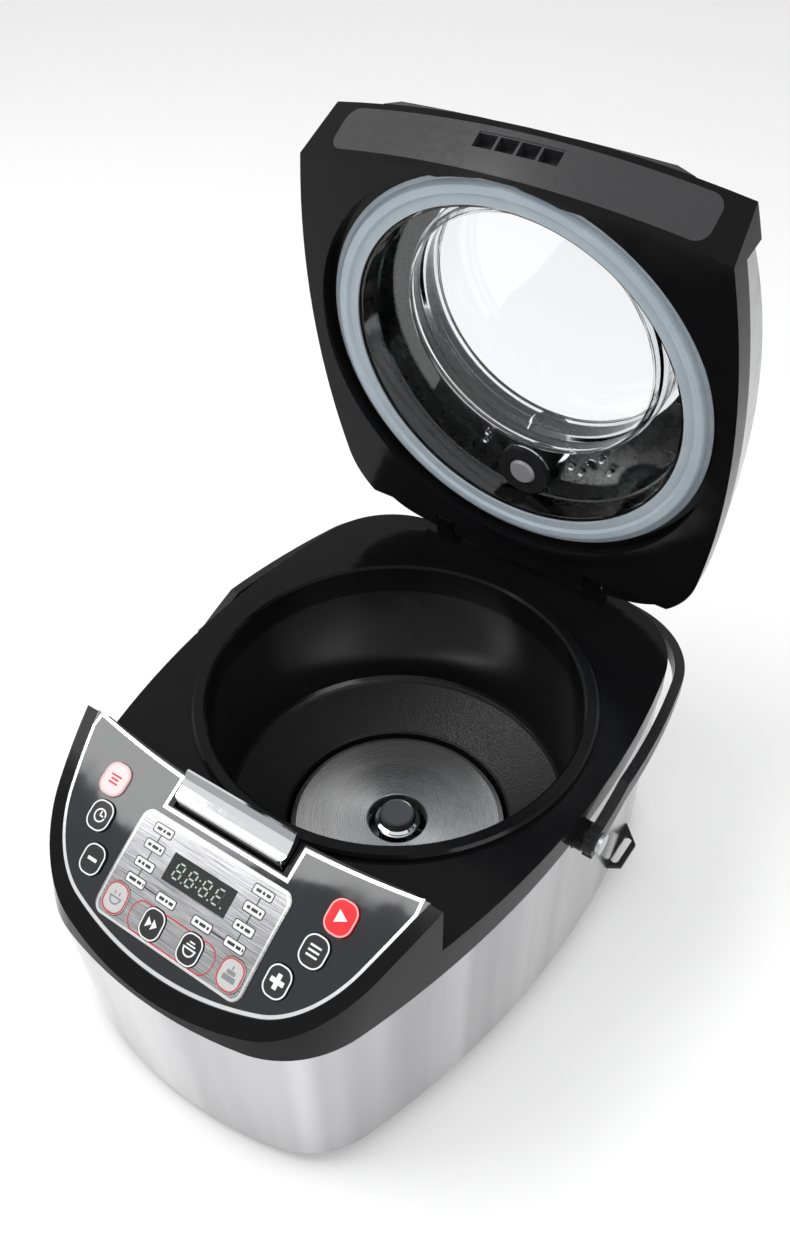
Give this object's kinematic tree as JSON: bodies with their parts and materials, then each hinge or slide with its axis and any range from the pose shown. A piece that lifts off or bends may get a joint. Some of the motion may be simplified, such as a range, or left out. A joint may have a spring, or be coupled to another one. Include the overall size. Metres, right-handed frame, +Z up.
{
  "type": "multi-function electric cooker",
  "caption": "Rounded-oblong electric multi-cooker with an open windowed lid, empty pot well, sloping key panel, steel wrap and folded-back bail handle.",
  "frame": {"origin": "where the axis of the pot well meets the floor the cooker stands on", "axes": "+Z up, -Y to the front, where the keys are; +X to the cooker's right seen from behind it, left to right seen from the front"},
  "size_m": [0.314, 0.4385, 0.4794],
  "materials": {
    "gloss_black": "gloss",
    "matte_black": "satin",
    "steel_wrap": "polished",
    "membrane": "gloss",
    "plate_silver": "brushed",
    "window_dark": "gloss",
    "key_dark": "gloss",
    "key_pale": "satin",
    "key_grey": "satin",
    "key_red": "gloss",
    "chrome": "polished",
    "rubber": "matte",
    "silicone": "satin",
    "clear": "clear",
    "lid_silver": "satin",
    "lid_grey": "gloss",
    "well_black": "satin",
    "heater_aluminium": "turned",
    "galvanised": "satin",
    "board_green": "satin",
    "brass": "satin"
  },
  "bodies": {
    "body": {"base_tray": "matte_black", "rubber_feet": "rubber", "base_screws": "galvanised", "steel_shell": "steel_wrap", "top_frame": "gloss_black", "control_panel": "membrane", "display_plate": "plate_silver", "display_window": "window_dark", "led_module": "key_grey", "control_board": "board_green", "tact_switches": "galvanised", "latch_pin": "galvanised", "latch_mounts": "matte_black", "release_spring": "galvanised", "inner_sleeve": "well_black", "heating_plate": "heater_aluminium", "heating_element": "galvanised", "sensor_sleeve": "chrome", "sensor_spring": "galvanised", "sensor_bracket": "galvanised", "heat_shield": "galvanised", "power_board": "board_green", "board_parts": "key_dark", "thermal_fuse": "galvanised", "power_inlet": "matte_black", "inlet_pins": "brass", "spoon_bracket": "matte_black", "handle_pivots": "galvanised", "hinge_pin": "galvanised"},
    "lid": {"lid_frame": "gloss_black", "lid_cover": "lid_silver", "lid_front": "lid_grey", "gasket": "silicone", "clear_cover": "clear", "window_ring": "clear", "window_lens": "clear", "steam_valve_body": "matte_black", "steam_valve_plug": "key_grey", "steam_cap": "gloss_black"},
    "handle": {"bail_handle": "matte_black"},
    "button": {"release_button": "chrome"},
    "hook": {"latch_hook": "galvanised"},
    "sensor": {"sensor_cap": "chrome"},
    "cancel_key": {"key_cancel": "key_pale"},
    "preset_key": {"key_preset": "key_dark"},
    "minus_key": {"key_minus": "key_dark"},
    "rice_key": {"key_rice": "key_grey"},
    "fast_key": {"key_fast": "key_dark"},
    "porridge_key": {"key_porridge": "key_dark"},
    "cake_key": {"key_cake": "key_grey"},
    "plus_key": {"key_plus": "key_dark"},
    "function_key": {"key_function": "key_dark"},
    "start_key": {"key_start": "key_red"}
  },
  "joints": [
    {"name": "lid_hinge", "type": "hinge", "parent": "body", "child": "lid", "pos_m": [0, 0.157, 0.18174], "axis": [1, 0, 0], "range_deg": [0, 80.28], "stiffness_Nm_per_rad": 0.7, "springref_deg": -20.05},
    {"name": "handle_bail", "type": "hinge", "parent": "body", "child": "handle", "pos_m": [0, -0.014, 0.145], "axis": [1, 0, 0], "range_deg": [0, 4]},
    {"name": "release_press", "type": "slide", "parent": "body", "child": "button", "axis": [0, 0, -1], "range_m": [0, 0.003], "stiffness_N_per_m": 400, "springref_m": -0.001, "deforming": ["release_spring"]},
    {"name": "hook_swing", "type": "hinge", "parent": "body", "child": "hook", "pos_m": [0, -0.146, 0.167], "axis": [1, 0, 0], "range_deg": [0, 5.8]},
    {"name": "sensor_press", "type": "slide", "parent": "body", "child": "sensor", "axis": [0, 0, -1], "range_m": [0, 0.004], "stiffness_N_per_m": 500, "springref_m": -0.001, "deforming": ["sensor_spring"]},
    {"name": "cancel_press", "type": "slide", "parent": "body", "child": "cancel_key", "axis": [0, 0.4711, -0.8821], "range_m": [0, 0.0006], "stiffness_N_per_m": 900, "springref_m": -0.0003},
    {"name": "preset_press", "type": "slide", "parent": "body", "child": "preset_key", "axis": [0, 0.5156, -0.8569], "range_m": [0, 0.0006], "stiffness_N_per_m": 900, "springref_m": -0.0003},
    {"name": "minus_press", "type": "slide", "parent": "body", "child": "minus_key", "axis": [0, 0.561, -0.8278], "range_m": [0, 0.0006], "stiffness_N_per_m": 900, "springref_m": -0.0003},
    {"name": "rice_press", "type": "slide", "parent": "body", "child": "rice_key", "axis": [0, 0.5814, -0.8136], "range_m": [0, 0.0006], "stiffness_N_per_m": 900, "springref_m": -0.0003},
    {"name": "fast_press", "type": "slide", "parent": "body", "child": "fast_key", "axis": [0, 0.5834, -0.8122], "range_m": [0, 0.0006], "stiffness_N_per_m": 900, "springref_m": -0.0003},
    {"name": "porridge_press", "type": "slide", "parent": "body", "child": "porridge_key", "axis": [0, 0.5834, -0.8122], "range_m": [0, 0.0006], "stiffness_N_per_m": 900, "springref_m": -0.0003},
    {"name": "cake_press", "type": "slide", "parent": "body", "child": "cake_key", "axis": [0, 0.5814, -0.8136], "range_m": [0, 0.0006], "stiffness_N_per_m": 900, "springref_m": -0.0003},
    {"name": "plus_press", "type": "slide", "parent": "body", "child": "plus_key", "axis": [0, 0.561, -0.8278], "range_m": [0, 0.0006], "stiffness_N_per_m": 900, "springref_m": -0.0003},
    {"name": "function_press", "type": "slide", "parent": "body", "child": "function_key", "axis": [0, 0.5156, -0.8569], "range_m": [0, 0.0006], "stiffness_N_per_m": 900, "springref_m": -0.0003},
    {"name": "start_press", "type": "slide", "parent": "body", "child": "start_key", "axis": [0, 0.4711, -0.8821], "range_m": [0, 0.0006], "stiffness_N_per_m": 900, "springref_m": -0.0003}
  ],
  "couplings": [
    {"joint": "hook_swing", "follows": "release_press", "rad_per_m": 33.3}
  ]
}
